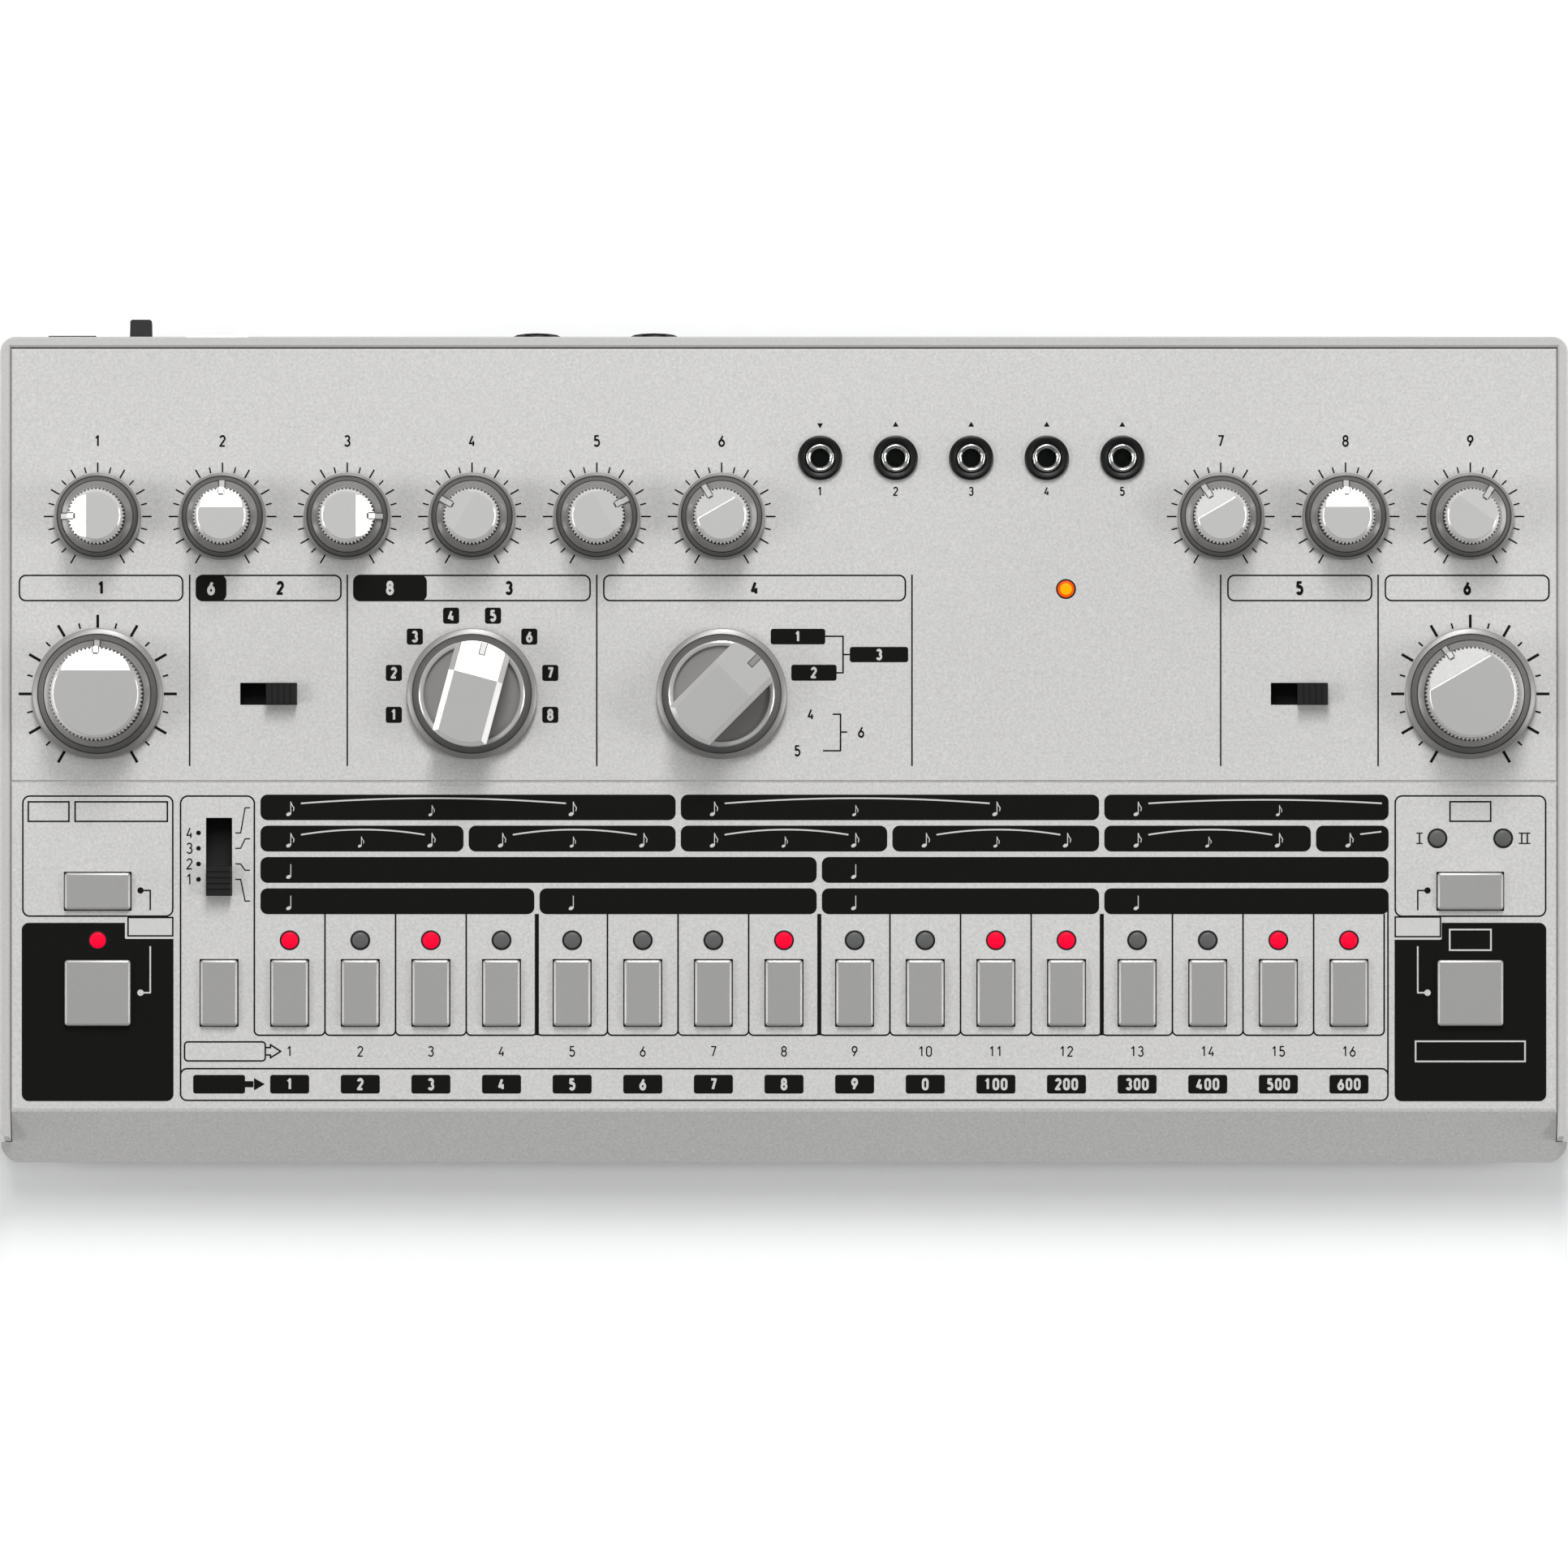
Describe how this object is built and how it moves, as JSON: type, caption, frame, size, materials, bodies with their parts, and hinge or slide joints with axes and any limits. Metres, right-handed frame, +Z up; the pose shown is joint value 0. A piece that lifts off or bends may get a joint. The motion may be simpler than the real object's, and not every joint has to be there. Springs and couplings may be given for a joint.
{
  "type": "drum machine",
  "caption": "Tabletop drum machine with fluted knobs, selector knobs, slide switches, step buttons, lamps and jack sockets on a sloping panel.",
  "frame": {"origin": "on the table, under the centre of the overall bounding box", "axes": "+X to the player's right, +Y to the rear, +Z up"},
  "size_m": [0.305, 0.165, 0.056],
  "materials": {
    "case": "fine matte texture",
    "knob": "satin",
    "button": "satin",
    "black_plastic": "satin",
    "bright_metal": "polished",
    "inner_metal": "satin",
    "inner_black": "matte",
    "board": "satin",
    "feet": "matte",
    "red_lamp": "glossy",
    "orange_lamp": "glossy",
    "unlit_lamp": "glossy"
  },
  "bodies": {
    "housing": {"bottom_case": "case", "top_panel": "case", "main_board": "board", "jack_board": "board", "rubber_feet": "feet", "potentiometers": "inner_metal", "rotary_switches": "inner_metal", "tact_switches": "inner_black", "slide_switch_bodies": "inner_metal", "red_lamps": "red_lamp", "unlit_lamps": "unlit_lamp", "tempo_lamp": "orange_lamp", "panel_jack_bodies": "inner_black", "panel_jack_sleeves": "bright_metal", "panel_jack_rings": "black_plastic", "rear_mini_jacks": "black_plastic", "phone_jacks": "black_plastic", "phone_jack_nuts": "black_plastic", "midi_sockets": "black_plastic", "usb_socket": "bright_metal", "power_socket": "black_plastic"},
    "accent_knob": {"accent_knob": "knob"},
    "bass_drum_knob": {"bass_drum_knob": "knob"},
    "snare_drum_knob": {"snare_drum_knob": "knob"},
    "tom_knob": {"tom_knob": "knob"},
    "cymbal_knob": {"cymbal_knob": "knob"},
    "hihat_knob": {"hihat_knob": "knob"},
    "distortion_knob": {"distortion_knob": "knob"},
    "tone_knob": {"tone_knob": "knob"},
    "level_knob": {"level_knob": "knob"},
    "tempo_knob": {"tempo_knob": "knob"},
    "volume_knob": {"volume_knob": "knob"},
    "instrument_selector": {"instrument_selector": "knob"},
    "mode_selector": {"mode_selector": "knob"},
    "select_slide": {"select_slide": "black_plastic"},
    "distortion_slide": {"distortion_slide": "black_plastic"},
    "scale_slide": {"scale_slide": "black_plastic"},
    "power_switch_lever": {"power_switch_lever": "black_plastic"},
    "step_button_01": {"step_button_01": "button"},
    "step_button_02": {"step_button_02": "button"},
    "step_button_03": {"step_button_03": "button"},
    "step_button_04": {"step_button_04": "button"},
    "step_button_05": {"step_button_05": "button"},
    "step_button_06": {"step_button_06": "button"},
    "step_button_07": {"step_button_07": "button"},
    "step_button_08": {"step_button_08": "button"},
    "step_button_09": {"step_button_09": "button"},
    "step_button_10": {"step_button_10": "button"},
    "step_button_11": {"step_button_11": "button"},
    "step_button_12": {"step_button_12": "button"},
    "step_button_13": {"step_button_13": "button"},
    "step_button_14": {"step_button_14": "button"},
    "step_button_15": {"step_button_15": "button"},
    "step_button_16": {"step_button_16": "button"},
    "function_button": {"function_button": "button"},
    "start_button": {"start_button": "button"},
    "write_button": {"write_button": "button"},
    "clear_button": {"clear_button": "button"},
    "group_button": {"group_button": "button"}
  },
  "joints": [
    {"name": "accent_knob_turn", "type": "hinge", "parent": "housing", "child": "accent_knob", "pos_m": [-0.1335, 0.04095, 0.04248], "axis": [0, 0.1219, -0.9925], "range_deg": [-60, 240]},
    {"name": "bass_drum_knob_turn", "type": "hinge", "parent": "housing", "child": "bass_drum_knob", "pos_m": [-0.10923, 0.04095, 0.04248], "axis": [0, 0.1219, -0.9925], "range_deg": [-150, 150]},
    {"name": "snare_drum_knob_turn", "type": "hinge", "parent": "housing", "child": "snare_drum_knob", "pos_m": [-0.08496, 0.04095, 0.04248], "axis": [0, 0.1219, -0.9925], "range_deg": [-240, 60]},
    {"name": "tom_knob_turn", "type": "hinge", "parent": "housing", "child": "tom_knob", "pos_m": [-0.06068, 0.04095, 0.04248], "axis": [0, 0.1219, -0.9925], "range_deg": [-90, 210]},
    {"name": "cymbal_knob_turn", "type": "hinge", "parent": "housing", "child": "cymbal_knob", "pos_m": [-0.03641, 0.04095, 0.04248], "axis": [0, 0.1219, -0.9925], "range_deg": [-210, 90]},
    {"name": "hihat_knob_turn", "type": "hinge", "parent": "housing", "child": "hihat_knob", "pos_m": [-0.01214, 0.04095, 0.04248], "axis": [0, 0.1219, -0.9925], "range_deg": [-120, 180]},
    {"name": "distortion_knob_turn", "type": "hinge", "parent": "housing", "child": "distortion_knob", "pos_m": [0.08496, 0.04095, 0.04248], "axis": [0, 0.1219, -0.9925], "range_deg": [-120, 180]},
    {"name": "tone_knob_turn", "type": "hinge", "parent": "housing", "child": "tone_knob", "pos_m": [0.10923, 0.04095, 0.04248], "axis": [0, 0.1219, -0.9925], "range_deg": [-150, 150]},
    {"name": "level_knob_turn", "type": "hinge", "parent": "housing", "child": "level_knob", "pos_m": [0.1335, 0.04095, 0.04248], "axis": [0, 0.1219, -0.9925], "range_deg": [-186, 114]},
    {"name": "tempo_knob_turn", "type": "hinge", "parent": "housing", "child": "tempo_knob", "pos_m": [-0.1335, 0.0067, 0.03827], "axis": [0, 0.1219, -0.9925], "range_deg": [-150, 150]},
    {"name": "volume_knob_turn", "type": "hinge", "parent": "housing", "child": "volume_knob", "pos_m": [0.1335, 0.0067, 0.03827], "axis": [0, 0.1219, -0.9925], "range_deg": [-120, 180]},
    {"name": "instrument_selector_turn", "type": "hinge", "parent": "housing", "child": "instrument_selector", "pos_m": [-0.06068, 0.0067, 0.03827], "axis": [0, 0.1219, -0.9925], "range_deg": [-120, 90]},
    {"name": "mode_selector_turn", "type": "hinge", "parent": "housing", "child": "mode_selector", "pos_m": [-0.01214, 0.0067, 0.03827], "axis": [0, 0.1219, -0.9925], "range_deg": [0, 90]},
    {"name": "select_slide_travel", "type": "slide", "parent": "housing", "child": "select_slide", "axis": [-1, 0, 0], "range_m": [0, 0.005]},
    {"name": "distortion_slide_travel", "type": "slide", "parent": "housing", "child": "distortion_slide", "axis": [-1, 0, 0], "range_m": [0, 0.005]},
    {"name": "scale_slide_travel", "type": "slide", "parent": "housing", "child": "scale_slide", "axis": [0, 0.9925, 0.1219], "range_m": [0, 0.00906]},
    {"name": "power_switch_lever_travel", "type": "slide", "parent": "housing", "child": "power_switch_lever", "axis": [1, 0, 0], "range_m": [0, 0.004]},
    {"name": "step_button_01_travel", "type": "slide", "parent": "housing", "child": "step_button_01", "axis": [0, 0.1219, -0.9925], "range_m": [0, 0.0006], "stiffness_N_per_m": 300, "springref_m": -0.002},
    {"name": "step_button_02_travel", "type": "slide", "parent": "housing", "child": "step_button_02", "axis": [0, 0.1219, -0.9925], "range_m": [0, 0.0006], "stiffness_N_per_m": 300, "springref_m": -0.002},
    {"name": "step_button_03_travel", "type": "slide", "parent": "housing", "child": "step_button_03", "axis": [0, 0.1219, -0.9925], "range_m": [0, 0.0006], "stiffness_N_per_m": 300, "springref_m": -0.002},
    {"name": "step_button_04_travel", "type": "slide", "parent": "housing", "child": "step_button_04", "axis": [0, 0.1219, -0.9925], "range_m": [0, 0.0006], "stiffness_N_per_m": 300, "springref_m": -0.002},
    {"name": "step_button_05_travel", "type": "slide", "parent": "housing", "child": "step_button_05", "axis": [0, 0.1219, -0.9925], "range_m": [0, 0.0006], "stiffness_N_per_m": 300, "springref_m": -0.002},
    {"name": "step_button_06_travel", "type": "slide", "parent": "housing", "child": "step_button_06", "axis": [0, 0.1219, -0.9925], "range_m": [0, 0.0006], "stiffness_N_per_m": 300, "springref_m": -0.002},
    {"name": "step_button_07_travel", "type": "slide", "parent": "housing", "child": "step_button_07", "axis": [0, 0.1219, -0.9925], "range_m": [0, 0.0006], "stiffness_N_per_m": 300, "springref_m": -0.002},
    {"name": "step_button_08_travel", "type": "slide", "parent": "housing", "child": "step_button_08", "axis": [0, 0.1219, -0.9925], "range_m": [0, 0.0006], "stiffness_N_per_m": 300, "springref_m": -0.002},
    {"name": "step_button_09_travel", "type": "slide", "parent": "housing", "child": "step_button_09", "axis": [0, 0.1219, -0.9925], "range_m": [0, 0.0006], "stiffness_N_per_m": 300, "springref_m": -0.002},
    {"name": "step_button_10_travel", "type": "slide", "parent": "housing", "child": "step_button_10", "axis": [0, 0.1219, -0.9925], "range_m": [0, 0.0006], "stiffness_N_per_m": 300, "springref_m": -0.002},
    {"name": "step_button_11_travel", "type": "slide", "parent": "housing", "child": "step_button_11", "axis": [0, 0.1219, -0.9925], "range_m": [0, 0.0006], "stiffness_N_per_m": 300, "springref_m": -0.002},
    {"name": "step_button_12_travel", "type": "slide", "parent": "housing", "child": "step_button_12", "axis": [0, 0.1219, -0.9925], "range_m": [0, 0.0006], "stiffness_N_per_m": 300, "springref_m": -0.002},
    {"name": "step_button_13_travel", "type": "slide", "parent": "housing", "child": "step_button_13", "axis": [0, 0.1219, -0.9925], "range_m": [0, 0.0006], "stiffness_N_per_m": 300, "springref_m": -0.002},
    {"name": "step_button_14_travel", "type": "slide", "parent": "housing", "child": "step_button_14", "axis": [0, 0.1219, -0.9925], "range_m": [0, 0.0006], "stiffness_N_per_m": 300, "springref_m": -0.002},
    {"name": "step_button_15_travel", "type": "slide", "parent": "housing", "child": "step_button_15", "axis": [0, 0.1219, -0.9925], "range_m": [0, 0.0006], "stiffness_N_per_m": 300, "springref_m": -0.002},
    {"name": "step_button_16_travel", "type": "slide", "parent": "housing", "child": "step_button_16", "axis": [0, 0.1219, -0.9925], "range_m": [0, 0.0006], "stiffness_N_per_m": 300, "springref_m": -0.002},
    {"name": "function_button_travel", "type": "slide", "parent": "housing", "child": "function_button", "axis": [0, 0.1219, -0.9925], "range_m": [0, 0.0006], "stiffness_N_per_m": 300, "springref_m": -0.002},
    {"name": "start_button_travel", "type": "slide", "parent": "housing", "child": "start_button", "axis": [0, 0.1219, -0.9925], "range_m": [0, 0.0006], "stiffness_N_per_m": 300, "springref_m": -0.002},
    {"name": "write_button_travel", "type": "slide", "parent": "housing", "child": "write_button", "axis": [0, 0.1219, -0.9925], "range_m": [0, 0.0006], "stiffness_N_per_m": 300, "springref_m": -0.002},
    {"name": "clear_button_travel", "type": "slide", "parent": "housing", "child": "clear_button", "axis": [0, 0.1219, -0.9925], "range_m": [0, 0.0006], "stiffness_N_per_m": 300, "springref_m": -0.002},
    {"name": "group_button_travel", "type": "slide", "parent": "housing", "child": "group_button", "axis": [0, 0.1219, -0.9925], "range_m": [0, 0.0006], "stiffness_N_per_m": 300, "springref_m": -0.002}
  ]
}
